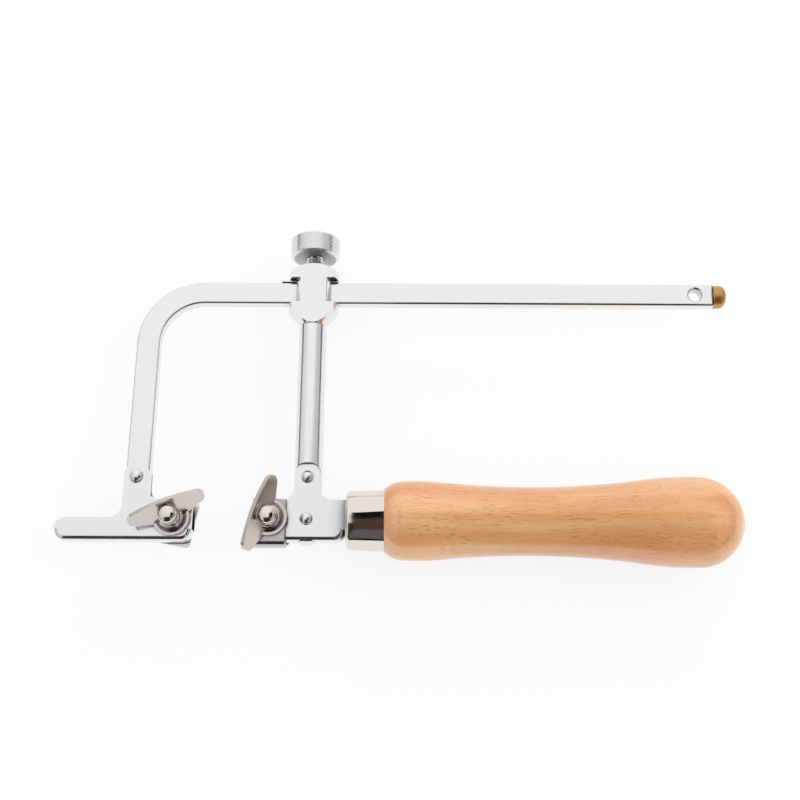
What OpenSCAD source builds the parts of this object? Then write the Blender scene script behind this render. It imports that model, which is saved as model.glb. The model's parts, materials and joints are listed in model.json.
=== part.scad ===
// Adjustable fret saw frame, lying on its side: bent flat bar with a fixed front foot,
// a sliding head and post that carry the rear foot and the handle, and two blade clamps.
// Modelled with x along the bar, y from the blade towards the bar and z out of the saw's plane.
// The working origin is the post's axis at the bar's lower edge, in the middle of the bar.

/* [Frame bar] */
// Width of the flat bar
bar_w = 8; // [7.4:0.1:8.6]
// Thickness of the flat bar
bar_t = 4.2; // [3.8:0.1:4.6]
// Length of the bar, from the outer side of the leg to the tip
bar_len = 199; // [185:1:225]
// Throat depth, from the lower edge of the bar to the base of the feet
throat = 82.6; // [76:0.2:110]
// Inner radius of the bend between the bar and the leg
bend_r = 14.5; // [11:0.5:18]
// Clear width of the throat, from the leg to the post's axis
throat_w = 52; // [48:1:80]
// Diameter of the hanging hole near the tip
hang_hole_d = 4.4; // [3.4:0.1:5]
// Distance from the tip of the bar to the hanging hole
hang_hole_inset = 6.2; // [5:0.1:8]

/* [Stop screw] */
// Diameter of the brass button at the tip of the bar
stop_d = 8; // [7:0.1:9]
// Length of the brass button
stop_len = 4.4; // [4:0.1:6]
// Rounding of the button's outer edge
stop_round = 2.2; // [1:0.1:3]
// Diameter of the screw's shank
stop_shank_d = 2.6; // [2:0.1:3]
// Length of the shank in the bar
stop_shank_len = 2.4; // [1.5:0.1:2.4]

/* [Feet] */
// Thickness of the pressed sheet
sheet_t = 1.2; // [1:0.1:1.4]
// Outer radius of the fold along the sole
fold_r = 1.7; // [1.3:0.1:2]
// Height of the toe in front of the leg
toe_h = 7.4; // [6.4:0.1:8.4]
// Length of the toe, from the outer side of the leg
toe_len = 21.5; // [16:0.5:26]
// Height of the arms that carry the clamps
arm_h = 13.4; // [12.6:0.1:15]
// Length of the front foot's arm, from the inner side of the leg
front_arm_len = 15; // [13.5:0.5:18]
// Length of the rear foot's front arm, from the post's axis
rear_arm_len = 17.2; // [16:0.2:20]
// Length of the rear foot's back arm, from the post's axis to the ferrule
back_arm_len = 12.8; // [11:0.2:16]
// Height of the cheeks above the sole
cheek_rise = 25.4; // [23.6:0.2:30]
// Width of the rear cheek over the post
cheek_w = 8.4; // [8:0.1:9]
// Radius of the cheeks' upper corners
cheek_r = 3.4; // [2:0.1:3.6]
// Radius of the flare between cheek and arm
flare_r = 4; // [3:0.1:4.8]
// Radius of the arms' free upper corners
end_r = 1.5; // [0.8:0.1:2.5]

/* [Rivets] */
// Diameter of the rivet shanks
rivet_d = 3; // [2.4:0.1:3.4]
// Diameter of the leg rivet's heads
leg_rivet_head_d = 4.8; // [4.2:0.1:5.4]
// Diameter of the post rivets' heads
post_rivet_head_d = 4.3; // [3.8:0.1:5]
// Height of the rivet heads
rivet_head_h = 1.5; // [1:0.1:1.8]
// Height of the leg rivet and the upper post rivet above the sole
rivet_rise = 21; // [20:0.1:22.6]

/* [Sliding head] */
// Diameter of the turned head
head_d = 17.2; // [16.4:0.1:18]
// Thickness of the head across its two flats
head_t = 9.2; // [8.6:0.1:10]
// Diameter of the waist beside the bar
waist_d = 12.9; // [12:0.1:14]
// Height of the cap's straight side above the slot
cap_h = 2.8; // [2:0.1:4]
// Radius of the cap's dome
dome_r = 12.5; // [11:0.1:16]
// Height of the block's straight side below the bar
block_h = 3.1; // [2.6:0.1:4]
// Height of the cone that runs down to the post
cone_h = 4.9; // [4:0.1:7]
// Depth of the seam between the cone's foot and the post
seam_depth = 0.35; // [0.3:0.05:0.6]
// Thickness of the pressure pad on the bar
pad_t = 0.6; // [0.4:0.05:1]
// Length of the pressure pad that stands out of the slot
pad_proud = 2.6; // [1:0.1:4]

/* [Clamp screw] */
// Diameter of the clamp screw
screw_d = 6; // [5:0.1:6.4]
// Gap between the dome and the underside of the knob
knob_gap = 2.5; // [2:0.1:4]
// Diameter of the knob
knob_d = 17; // [15:0.1:20]
// Height of the knob
knob_h = 7.4; // [7:0.1:9]
// Width of the bevel round the knob's underside
knob_bevel_w = 1.1; // [0.8:0.01:2]
// Height of the bevel round the knob's underside
knob_bevel_h = 0.5; // [0.4:0.01:1.6]
// Rounding of the knob's upper edge
knob_round = 0.8; // [0.5:0.1:1.4]
// Depth of the screw's seat in the knob
knob_seat = 5; // [3:0.1:5.4]

/* [Post] */
// Diameter of the post
post_d = 9.4; // [9:0.1:9.8]
// Diameter of the spigot in the head
spigot_d = 6; // [5:0.1:6.4]
// Length of the spigot in the head
spigot_len = 6; // [4:0.1:6.2]
// Diameter of the riveted end below the sole
peen_d = 6.4; // [5:0.1:7]
// Height of the riveted end below the sole
peen_h = 1.3; // [0.8:0.1:1.8]
// Diameter of the neck that passes through the sole
peen_neck_d = 4; // [3:0.1:4]

/* [Blade clamps] */
// Diameter of the clamp studs
stud_d = 6; // [5.6:0.1:6.4]
// Height of the studs in front of the feet
stud_proud = 9; // [8:0.1:10]
// Rounding of the studs' polished ends
stud_round = 1.6; // [1:0.1:2]
// Height of the clamp studs and of the handle's axis above the sole
clamp_rise = 7.2; // [7:0.1:7.8]
// Distance from the end of the front arm to its stud
front_stud_inset = 6.4; // [6:0.1:8]
// Distance from the end of the rear foot's front arm to its stud
rear_stud_inset = 5.3; // [5:0.1:7]
// Width of the clamp jaws
jaw_w = 12.6; // [11:0.1:13.4]
// Height of the clamp jaws
jaw_h = 15.6; // [14:0.1:16.4]
// Thickness of the clamp jaws
jaw_t = 2; // [1.6:0.1:2.6]
// Radius of the clamp jaws' corners
jaw_r = 1.6; // [1:0.1:3]
// Tilt of the front jaw, in degrees
front_jaw_tilt = -10.3; // [-14:0.1:0]
// Width of the rear keeper
keeper_w = 10.8; // [10:0.1:12]
// Thickness of the rear keeper
keeper_t = 1.4; // [1.2:0.1:1.8]
// Outer radius of the rear keeper's bend
keeper_bend_r = 1.7; // [1.5:0.1:2]
// Depth of the rear keeper's lip under the sole
keeper_lip = 6; // [5:0.1:7.6]
// Wall of the spacer bushes round the studs
spacer_wall = 1.2; // [1:0.1:1.6]

/* [Wing nuts] */
// Diameter of the dished base
disc_d = 11.8; // [11:0.1:12.4]
// Thickness of the base
disc_t = 1; // [0.8:0.1:1.3]
// Height of the base's raised rim
rim_h = 1.7; // [1.5:0.1:2]
// Diameter of the threaded hub
hub_d = 8; // [7.6:0.1:8.6]
// Height of the threaded hub
hub_h = 2.6; // [2.2:0.1:4]
// Length of the wing
wing_len = 25.4; // [22:0.2:28]
// Height of the wing along its slope
wing_h = 7.8; // [7:0.1:9]
// Rise of the wing's crowned top above its tips
wing_crown = 1.2; // [1:0.1:1.6]
// Thickness of the wing
wing_t = 1.4; // [1:0.1:1.6]
// Radius of the wing's tips
wing_tip_r = 2.6; // [2.2:0.1:3]
// Lean of the wing away from the stud, in degrees
wing_lean = 30; // [20:1:32]
// Turn of the front wing nut, in degrees
front_wing_turn = 22; // [0:1:45]
// Turn of the rear wing nut, in degrees
rear_wing_turn = 72; // [45:1:100]

/* [Handle] */
// Length of the wooden handle behind the ferrule
handle_len = 117; // [105:1:135]
// Largest radius, near the end
belly_r = 14.8; // [14:0.1:16.5]
// Smallest radius, in the middle
grip_r = 11.15; // [10.4:0.05:12]
// Radius of the swell behind the ferrule
swell_r = 12.95; // [12.4:0.05:13.8]
// Distance from the ferrule to the top of the swell
swell_at = 10.2; // [8:0.2:14]
// Place of the grip's middle, as a share of the handle's length
grip_share = 0.4; // [0.36:0.01:0.44]
// Radius of the grip's hollow, as a share of the largest that the swell leaves room for
hollow_share = 0.75; // [0.6:0.01:0.8]
// Distance from the top of the belly to the start of the round end
end_lead = 2.6; // [1.5:0.1:4]
// Rounding of the handle's front shoulder
shoulder_r = 9; // [8.4:0.1:10]
// Distance from the front face to where the shoulder meets the swell
shoulder_run = 5.6; // [5:0.1:6]
// Length of the ferrule
ferrule_len = 12.4; // [11:0.2:15]
// Radius of the ferrule's front
ferrule_front_r = 9.6; // [9:0.1:9.9]
// Radius of the ferrule's back
ferrule_back_r = 10.1; // [10:0.1:10.5]
// Wall of the ferrule
ferrule_wall = 0.8; // [0.6:0.1:1.2]
// Rounding of the ferrule's front edge
ferrule_round = 1.3; // [0.8:0.1:1.6]
// Length of the tang in the handle, behind the ferrule
tang_len = 45; // [35:1:60]

/* [Hidden] */
$fn = 96;
// Overrun of every cut past the faces it opens
overrun = 1;
// Running clearance of a screw or stud in its hole, on the radius
run_clear = 0.08;
// Sliding clearance between the head and the bar
slide_clear = 0.1;
// Clearance between a piece and the seat it rests in
seat_clear = 0.1;
// How far two neighbouring curves of the handle overlap, as a share of the radii that just touch
crossing_share = 1.02;
// Angle at which the handle's shoulder crosses the swell, in degrees
crossing_angle = 2;
// Gap left where two curved or butted pieces come together
butt_gap = 0.3;
// Height of the slot's free space over the bar, which the pressure pad fills
pad_space = pad_t + 3 * slide_clear;

leg_in_x = -throat_w;
leg_out_x = leg_in_x - bar_w;
leg_x = leg_in_x - bar_w / 2;
tip_x = leg_out_x + bar_len;
bend_x = leg_in_x + bend_r;
base_y = -throat;
toe_x = leg_out_x - toe_len;
toe_r = toe_h / 2;
foot_t = bar_t + 2 * sheet_t;
front_end_x = leg_in_x + front_arm_len;
rear_end_x = -rear_arm_len;
cheek_top_y = base_y + cheek_rise;
rivet_y = base_y + rivet_rise;
clamp_y = base_y + clamp_rise;
tang_h = 2 * (clamp_rise - toe_r - seat_clear);
front_stud_x = front_end_x - front_stud_inset;
rear_stud_x = rear_end_x + rear_stud_inset;
stud_hole_d = stud_d + 2 * run_clear;
stud_r = stud_d / 2;

head_r = head_d / 2;
slot_low_y = -slide_clear;
slot_top_y = bar_w + pad_space;
cap_y = slot_top_y + cap_h;
dome_y = cap_y - sqrt(pow(dome_r, 2) - pow(head_r, 2));
dome_top_y = dome_y + dome_r;
cone_y = -block_h - cone_h;
post_r = post_d / 2;

knob_y = dome_top_y + knob_gap;
knob_top_y = knob_y + knob_h;
screw_low_y = bar_w + slide_clear + pad_t + slide_clear;

ferrule_x = back_arm_len;
handle_x = ferrule_x + ferrule_len;
handle_end_x = handle_x + handle_len;
stop_end_x = tip_x + stop_len;

// Shift that puts the part's origin under the middle of its outline, on the surface it lies on
shift_x = -(toe_x + max(handle_end_x, stop_end_x)) / 2;
shift_y = -(knob_top_y + clamp_y - belly_r) / 2;
shift_z = belly_r;

plate_colour = "#d5d8dc";
nickel_colour = "#c4b8aa";
brass_colour = "#b98436";
zinc_colour = "#b9bbbe";
wood_colour = "#dba368";

// Moves a piece from the working origin to the part's own origin
module placed() {
    translate([shift_x, shift_y, shift_z]) children();
}

// Turns a piece made along z so that it runs along x
module along_x() {
    rotate([0, 90, 0]) children();
}

// Turns a piece made along z so that it runs along y
module along_y() {
    rotate([-90, 0, 0]) children();
}

// Waste outside a rounded corner whose two edges run along +x and +y
module corner_waste(r) {
    difference() {
        translate([-overrun, -overrun]) square(r + overrun);
        translate([r, r]) circle(r);
    }
}

// Flat plate between two corners, with its own radius at each corner
module plate2d(x0, y0, x1, y1, low_left = 0, low_right = 0, up_right = 0, up_left = 0) {
    difference() {
        translate([x0, y0]) square([x1 - x0, y1 - y0]);
        if (low_left > 0) translate([x0, y0]) corner_waste(low_left);
        if (low_right > 0) translate([x1, y0]) mirror([1, 0]) corner_waste(low_right);
        if (up_right > 0) translate([x1, y1]) mirror([1, 0]) mirror([0, 1]) corner_waste(up_right);
        if (up_left > 0) translate([x0, y1]) mirror([0, 1]) corner_waste(up_left);
    }
}

// Concave web between an upright edge and an arm's top; side is 1 to its right, -1 to its left
module flare2d(x, y, r, side) {
    translate([x, y]) mirror([side < 0 ? 1 : 0, 0]) difference() {
        square(r);
        translate([r, r]) circle(r);
    }
}

// Bar, bend and leg in one outline
module frame_outline() {
    bend_out = bend_r + bar_w;
    translate([bend_x, 0]) square([tip_x - bend_x, bar_w]);
    translate([leg_out_x, base_y + sheet_t]) square([bar_w, throat - sheet_t - bend_r]);
    translate([bend_x, -bend_r]) difference() {
        intersection() {
            circle(bend_out);
            translate([-bend_out, 0]) square(bend_out);
        }
        circle(bend_r);
    }
}

module frame_bar() {
    color(plate_colour) placed() difference() {
        linear_extrude(bar_t, center = true) frame_outline();
        translate([tip_x - hang_hole_inset, bar_w / 2, 0])
            cylinder(d = hang_hole_d, h = bar_t + 2 * overrun, center = true);
        translate([tip_x - stop_shank_len, bar_w / 2, 0]) along_x()
            cylinder(d = stop_shank_d, h = stop_shank_len + overrun);
        translate([leg_x, rivet_y, 0])
            cylinder(d = rivet_d, h = bar_t + 2 * overrun, center = true);
    }
}

// Section through the folded sole: height above the base along x, thickness along y
module fold_section() {
    translate([0, -foot_t / 2]) plate2d(0, 0, toe_r, foot_t, low_left = fold_r, up_left = fold_r);
}

// Quarter turn of the folded sole, from the given angle
module fold_corner(x, from) {
    translate([x, base_y + toe_r, 0]) rotate([0, 0, from]) rotate_extrude(angle = 90)
        plate2d(0, -foot_t / 2, toe_r, foot_t / 2, low_right = fold_r, up_right = fold_r);
}

// Sole of a foot: the fold from one rounded end to the other, hollow between the cheeks
module sole(x0, x1) {
    hollow_r = toe_r - sheet_t;
    difference() {
        union() {
            translate([x0 + toe_r, base_y, 0]) rotate([90, 0, 90])
                linear_extrude(x1 - x0 - 2 * toe_r) fold_section();
            fold_corner(x0 + toe_r, 180);
            fold_corner(x1 - toe_r, 270);
        }
        linear_extrude(bar_t, center = true) {
            plate2d(
                x0 + sheet_t, base_y + sheet_t, x1 - sheet_t, base_y + toe_r + overrun,
                low_left = hollow_r, low_right = hollow_r
            );
        }
    }
}

// The two cheeks of a foot, cut from one outline
module cheeks() {
    for (side = [-1, 1])
        translate([0, 0, side * (bar_t + sheet_t) / 2])
            linear_extrude(sheet_t, center = true) children();
}

module front_foot() {
    low_y = base_y + toe_r;
    color(plate_colour) placed() difference() {
        union() {
            sole(toe_x, front_end_x);
            cheeks() {
                plate2d(toe_x, low_y, leg_x, base_y + toe_h, up_left = toe_r);
                plate2d(leg_out_x, low_y, front_end_x, base_y + arm_h, up_right = end_r);
                plate2d(leg_out_x, low_y, leg_in_x, cheek_top_y, up_right = cheek_r, up_left = cheek_r);
                flare2d(leg_out_x, base_y + toe_h, flare_r, -1);
                flare2d(leg_in_x, base_y + arm_h, flare_r, 1);
            }
        }
        translate([leg_x, rivet_y, 0]) cylinder(d = rivet_d, h = foot_t + 2 * overrun, center = true);
        translate([front_stud_x, clamp_y, 0])
            cylinder(d = stud_hole_d, h = foot_t + 2 * overrun, center = true);
    }
}

module rear_foot() {
    low_y = base_y + toe_r;
    color(plate_colour) placed() difference() {
        union() {
            sole(rear_end_x, back_arm_len);
            cheeks() {
                plate2d(rear_end_x, low_y, back_arm_len, base_y + arm_h, up_left = end_r);
                plate2d(-cheek_w / 2, low_y, cheek_w / 2, cheek_top_y, up_right = cheek_r, up_left = cheek_r);
                flare2d(-cheek_w / 2, base_y + arm_h, flare_r, -1);
                flare2d(cheek_w / 2, base_y + arm_h, flare_r, 1);
            }
        }
        translate([0, rivet_y, 0]) cylinder(d = rivet_d, h = foot_t + 2 * overrun, center = true);
        translate([0, clamp_y, 0]) cylinder(d = rivet_d, h = foot_t + 2 * overrun, center = true);
        translate([rear_stud_x, clamp_y, 0])
            cylinder(d = stud_hole_d, h = foot_t + 2 * overrun, center = true);
        translate([0, base_y - overrun, 0]) along_y()
            cylinder(d = peen_neck_d, h = sheet_t + 2 * overrun);
    }
}

// Round cap of given diameter and height, standing on z = 0
module domed_cap(d, h) {
    ball_r = (pow(d / 2, 2) + pow(h, 2)) / (2 * h);
    difference() {
        translate([0, 0, h - ball_r]) sphere(ball_r);
        translate([-ball_r, -ball_r, -2 * ball_r]) cube(2 * ball_r);
    }
}

// Rivet through both cheeks of a foot, with a domed head on each side
module rivet(x, y, head_d) {
    translate([x, y, 0]) {
        cylinder(d = rivet_d, h = foot_t, center = true);
        for (side = [0, 1])
            mirror([0, 0, side]) translate([0, 0, foot_t / 2]) domed_cap(head_d, rivet_head_h);
    }
}

module leg_rivet() {
    color(plate_colour) placed() rivet(leg_x, rivet_y, leg_rivet_head_d);
}

module upper_post_rivet() {
    color(plate_colour) placed() rivet(0, rivet_y, post_rivet_head_d);
}

module lower_post_rivet() {
    color(plate_colour) placed() rivet(0, clamp_y, post_rivet_head_d);
}

// Bush that keeps the cheeks apart where a stud pulls on them
module spacer(x) {
    translate([x, clamp_y, 0]) difference() {
        cylinder(d = stud_hole_d + 2 * spacer_wall, h = bar_t, center = true);
        cylinder(d = stud_hole_d, h = bar_t + 2 * overrun, center = true);
    }
}

module front_spacer() {
    color(plate_colour) placed() spacer(front_stud_x);
}

module rear_spacer() {
    color(plate_colour) placed() spacer(rear_stud_x);
}

module stop_screw() {
    color(brass_colour) placed() translate([tip_x, bar_w / 2, 0]) along_x() {
        rotate_extrude() difference() {
            square([stop_d / 2, stop_len]);
            translate([stop_d / 2, stop_len]) mirror([1, 0]) mirror([0, 1]) corner_waste(stop_round);
        }
        translate([0, 0, -stop_shank_len]) cylinder(d = stop_shank_d, h = stop_shank_len);
    }
}

// Half section of the turned head: domed cap, waist beside the bar, block and cone
module head_section() {
    polygon([
        [0, cone_y], [post_r - seam_depth, cone_y], [head_r, -block_h], [head_r, slot_low_y],
        [waist_d / 2, slot_low_y], [waist_d / 2, slot_top_y], [0, slot_top_y]
    ]);
    intersection() {
        translate([0, dome_y]) circle(dome_r);
        translate([0, slot_top_y]) square([head_r, dome_r]);
    }
}

module sliding_head() {
    slot_h = slot_top_y - slot_low_y;
    slot_t = bar_t + 2 * slide_clear;
    color(plate_colour) placed() difference() {
        intersection() {
            along_y() rotate_extrude() head_section();
            translate([-head_d, cone_y - overrun, -head_t / 2])
                cube([2 * head_d, dome_top_y - cone_y + 2 * overrun, head_t]);
        }
        translate([-head_d, slot_low_y, -slot_t / 2]) cube([2 * head_d, slot_h, slot_t]);
        translate([0, slot_top_y - slide_clear, 0]) along_y()
            cylinder(d = screw_d + 2 * run_clear, h = dome_top_y - slot_top_y + overrun);
        translate([0, cone_y - overrun, 0]) along_y() cylinder(d = spigot_d, h = spigot_len + overrun);
    }
}

module pressure_pad() {
    pad_len = 2 * head_r + pad_proud;
    color(nickel_colour) placed() translate([-head_r - pad_proud, bar_w + slide_clear, -bar_t / 2])
        cube([pad_len, pad_t, bar_t]);
}

module post() {
    post_low_y = base_y + sheet_t;
    flat_depth = post_r - bar_t / 2;
    color(plate_colour) placed() {
        difference() {
            translate([0, post_low_y, 0]) along_y() cylinder(d = post_d, h = cone_y - post_low_y);
            for (side = [-1, 1])
                translate([0, 0, side * (bar_t + flat_depth + overrun) / 2])
                    linear_extrude(flat_depth + overrun, center = true)
                        plate2d(
                            -cheek_w / 2 - seat_clear, post_low_y - overrun,
                            cheek_w / 2 + seat_clear, cheek_top_y + seat_clear,
                            up_right = cheek_r, up_left = cheek_r
                        );
            for (y = [rivet_y, clamp_y])
                translate([0, y, 0]) cylinder(d = rivet_d, h = post_d, center = true);
        }
        translate([0, cone_y, 0]) along_y() cylinder(d = spigot_d, h = spigot_len);
        translate([0, base_y, 0]) along_y() cylinder(d = peen_neck_d, h = sheet_t);
        translate([0, base_y, 0]) rotate([90, 0, 0]) domed_cap(peen_d, peen_h);
    }
}

// Stud with a polished domed end, riveted over behind its jaw
module stud(x) {
    low_z = -foot_t / 2 - jaw_t;
    top_z = foot_t / 2 + stud_proud;
    translate([x, clamp_y, 0]) {
        rotate_extrude() difference() {
            translate([0, low_z]) square([stud_r, top_z - low_z]);
            translate([stud_r, top_z]) mirror([1, 0]) mirror([0, 1]) corner_waste(stud_round);
        }
        translate([0, 0, low_z]) rotate([180, 0, 0]) domed_cap(stud_d + 2 * run_clear, stud_round / 2);
    }
}

// Flat clamp jaw behind a foot, with the stud riveted into it
module clamp_jaw(x, tilt) {
    translate([x, clamp_y, -foot_t / 2 - jaw_t]) rotate([0, 0, tilt]) linear_extrude(jaw_t) difference() {
        plate2d(
            -jaw_w / 2, -jaw_h / 2, jaw_w / 2, jaw_h / 2,
            low_left = jaw_r, low_right = jaw_r, up_right = jaw_r, up_left = jaw_r
        );
        circle(d = stud_d);
    }
}

module front_clamp_stud() {
    color(nickel_colour) placed() stud(front_stud_x);
}

module rear_clamp_stud() {
    color(nickel_colour) placed() stud(rear_stud_x);
}

module front_jaw() {
    color(plate_colour) placed() clamp_jaw(front_stud_x, front_jaw_tilt);
}

module rear_jaw() {
    color(plate_colour) placed() clamp_jaw(rear_stud_x, 0);
}

// Section of the keeper: upright plate with a lip that runs back under the sole
module keeper_section() {
    low_y = base_y - butt_gap - keeper_t;
    difference() {
        plate2d(
            low_y, foot_t / 2 + keeper_t - keeper_lip, base_y + arm_h, foot_t / 2 + keeper_t,
            up_left = keeper_bend_r
        );
        translate([low_y + keeper_t, foot_t / 2 - keeper_lip]) square([throat, keeper_lip]);
    }
}

module rear_keeper() {
    color(nickel_colour) placed() difference() {
        translate([rear_stud_x - keeper_w / 2, 0, 0]) rotate([90, 0, 90]) linear_extrude(keeper_w) keeper_section();
        translate([rear_stud_x, clamp_y, foot_t / 2 - overrun])
            cylinder(d = stud_hole_d, h = keeper_t + 2 * overrun);
    }
}

// Half section of the wing nut's dished base and hub
module nut_section() {
    disc_r = disc_d / 2;
    hub_r = hub_d / 2;
    hole_r = stud_hole_d / 2;
    rim_w = rim_h - disc_t;
    lip_w = (hub_r - hole_r) / 2;
    polygon([
        [hole_r, 0], [disc_r - rim_w, 0], [disc_r, rim_w], [disc_r, rim_h], [disc_r - rim_w, rim_h],
        [hub_r, disc_t], [hub_r, hub_h - lip_w], [hub_r - lip_w, hub_h], [hole_r, hub_h]
    ]);
}

// Outline of the wing: crowned top, round tips and tapering undersides
module wing_outline() {
    foot_x = disc_d / 2 - wing_t;
    tip_x = wing_len / 2 - wing_tip_r;
    tip_y = wing_h - wing_tip_r;
    reach = norm([tip_x - foot_x, tip_y]);
    slope = atan2(tip_y, tip_x - foot_x) - asin(wing_tip_r / reach);
    touch = sqrt(pow(reach, 2) - pow(wing_tip_r, 2));
    touch_x = foot_x + touch * cos(slope);
    touch_y = touch * sin(slope);
    polygon([
        [-foot_x, 0], [foot_x, 0], [touch_x, touch_y], [tip_x, tip_y], [-tip_x, tip_y], [-touch_x, touch_y]
    ]);
    for (side = [-1, 1]) translate([side * tip_x, tip_y]) circle(wing_tip_r);
    crown_r = (pow(tip_x, 2) + pow(wing_crown, 2)) / (2 * wing_crown);
    crown_x = tip_x + wing_t / 2;
    intersection() {
        translate([0, wing_h + wing_crown - crown_r]) circle(crown_r);
        translate([-crown_x, tip_y - wing_t]) square([2 * crown_x, wing_t + wing_tip_r + wing_crown + overrun]);
    }
}

// Wing nut pressed from sheet, standing on z = 0 with its wing along x
module wing_nut() {
    difference() {
        union() {
            rotate_extrude() nut_section();
            translate([0, 0, disc_t / 2]) rotate([90 - wing_lean, 0, 0])
                linear_extrude(wing_t, center = true) wing_outline();
        }
        translate([0, 0, -wing_t]) cylinder(d = stud_hole_d, h = wing_h + 2 * wing_t);
        translate([0, 0, hub_h]) cylinder(d = stud_hole_d + 2 * butt_gap, h = wing_h);
        translate([0, 0, -2 * wing_t]) cylinder(d = disc_d, h = 2 * wing_t);
    }
}

module front_wing_nut() {
    color(nickel_colour) placed() translate([front_stud_x, clamp_y, foot_t / 2])
        rotate([0, 0, front_wing_turn]) wing_nut();
}

module rear_wing_nut() {
    color(nickel_colour) placed() translate([rear_stud_x, clamp_y, foot_t / 2 + keeper_t])
        rotate([0, 0, rear_wing_turn]) wing_nut();
}

module clamp_screw() {
    color(nickel_colour) placed() translate([0, screw_low_y, 0]) along_y()
        cylinder(d = screw_d, h = knob_y + knob_seat - screw_low_y);
}

module knurled_knob() {
    knob_r = knob_d / 2;
    color(zinc_colour) placed() translate([0, knob_y, 0]) along_y() difference() {
        rotate_extrude() difference() {
            polygon([
                [0, 0], [knob_r - knob_bevel_w, 0], [knob_r, knob_bevel_h], [knob_r, knob_h], [0, knob_h]
            ]);
            translate([knob_r, knob_h]) mirror([1, 0]) mirror([0, 1]) corner_waste(knob_round);
        }
        translate([0, 0, -overrun]) cylinder(d = screw_d + 2 * run_clear, h = knob_seat + seat_clear + overrun);
    }
}

module handle_tang() {
    color(plate_colour) placed()
        translate([post_r + butt_gap, clamp_y - tang_h / 2, -bar_t / 2])
            cube([handle_x + tang_len - post_r - butt_gap, tang_h, bar_t]);
}

// Slot that the tang passes through
module tang_slot(from_x, to_x) {
    translate([from_x, clamp_y - tang_h / 2, -bar_t / 2]) cube([to_x - from_x, tang_h, bar_t]);
}

// Ferrule's inner radius at a distance from its front face
function ferrule_in_r(at) =
    ferrule_front_r + (ferrule_back_r - ferrule_front_r) * at / ferrule_len - ferrule_wall;

module ferrule() {
    color(nickel_colour) placed() difference() {
        translate([ferrule_x, clamp_y, 0]) along_x() rotate_extrude() difference() {
            polygon([[0, 0], [ferrule_front_r, 0], [ferrule_back_r, ferrule_len], [0, ferrule_len]]);
            translate([ferrule_front_r, 0]) mirror([1, 0]) corner_waste(ferrule_round);
            polygon([
                [0, ferrule_wall], [ferrule_in_r(ferrule_wall), ferrule_wall],
                [ferrule_in_r(ferrule_len + overrun), ferrule_len + overrun], [0, ferrule_len + overrun]
            ]);
        }
        tang_slot(ferrule_x - overrun, handle_x);
    }
}

// Sum of a crest's and a hollow's radii at which the two curves cross at a faint angle
function crossing_curves(run, rise) = crossing_share * (pow(run, 2) + pow(rise, 2)) / (2 * rise);

// Height at x of a crest with its top at [top_x, top_r]
function crest_height(x, top_x, top_r, curve) = top_r - curve + sqrt(pow(curve, 2) - pow(x - top_x, 2));

// Half section of the handle behind the ferrule: shoulder, swell, hollow grip, belly and round end
module handle_section() {
    grip_at = handle_len * grip_share;
    belly_at = handle_len - belly_r - end_lead;
    front_curves = crossing_curves(grip_at - swell_at, swell_r - grip_r);
    back_curves = crossing_curves(belly_at - grip_at, belly_r - grip_r);
    grip_curve = hollow_share * min(front_curves, back_curves);
    swell_curve = front_curves - grip_curve;
    belly_curve = back_curves - grip_curve;
    swell_end = swell_at + (grip_at - swell_at) * swell_curve / front_curves;
    belly_start = belly_at - (belly_at - grip_at) * belly_curve / back_curves;
    shoulder_turn = asin((swell_at - shoulder_run) / swell_curve) + crossing_angle;
    shoulder_x = shoulder_run + shoulder_r * sin(shoulder_turn);
    shoulder_y = crest_height(shoulder_run, swell_at, swell_r, swell_curve) - shoulder_r * cos(shoulder_turn);
    intersection() {
        translate([swell_at, swell_r - swell_curve]) circle(swell_curve);
        union() {
            translate([shoulder_x, shoulder_y]) circle(shoulder_r);
            translate([shoulder_x, 0]) square([grip_at - shoulder_x, swell_r + overrun]);
        }
        square([grip_at, swell_r + overrun]);
    }
    difference() {
        translate([swell_end, 0]) square([belly_start - swell_end, belly_r]);
        translate([grip_at, grip_r + grip_curve]) circle(grip_curve);
    }
    difference() {
        intersection() {
            translate([belly_at, belly_r - belly_curve]) circle(belly_curve);
            translate([grip_at, 0]) square([handle_len - grip_at, belly_r + overrun]);
        }
        translate([handle_len, belly_r]) mirror([1, 0]) mirror([0, 1]) corner_waste(belly_r);
    }
}

module handle() {
    neck = ferrule_len - ferrule_wall;
    color(wood_colour) placed() difference() {
        translate([handle_x, clamp_y, 0]) along_x() rotate_extrude() {
            rotate([0, 0, 90]) mirror([0, 1]) handle_section();
            polygon([
                [0, -neck], [ferrule_in_r(ferrule_wall) - seat_clear, -neck],
                [ferrule_in_r(ferrule_len) - seat_clear, 0],
                [ferrule_in_r(ferrule_len) - seat_clear, shoulder_r], [0, shoulder_r]
            ]);
        }
        tang_slot(handle_x - ferrule_len, handle_x + tang_len);
    }
}

frame_bar();
front_foot();
leg_rivet();
front_spacer();
stop_screw();
sliding_head();
pressure_pad();
post();
rear_foot();
upper_post_rivet();
lower_post_rivet();
rear_clamp_stud();
rear_jaw();
rear_spacer();
handle_tang();
ferrule();
handle();
clamp_screw();
knurled_knob();
front_clamp_stud();
front_jaw();
front_wing_nut();
rear_keeper();
rear_wing_nut();
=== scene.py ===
"""Looks of the adjustable fret saw: plated, nickel, brass and beech finishes, knurl, threads and studio."""

from __future__ import annotations

import json
import logging
import math
from collections.abc import Callable, Sequence
from dataclasses import dataclass, field
from enum import Enum
from typing import Any

import bpy
from mathutils import Matrix, Vector

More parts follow.
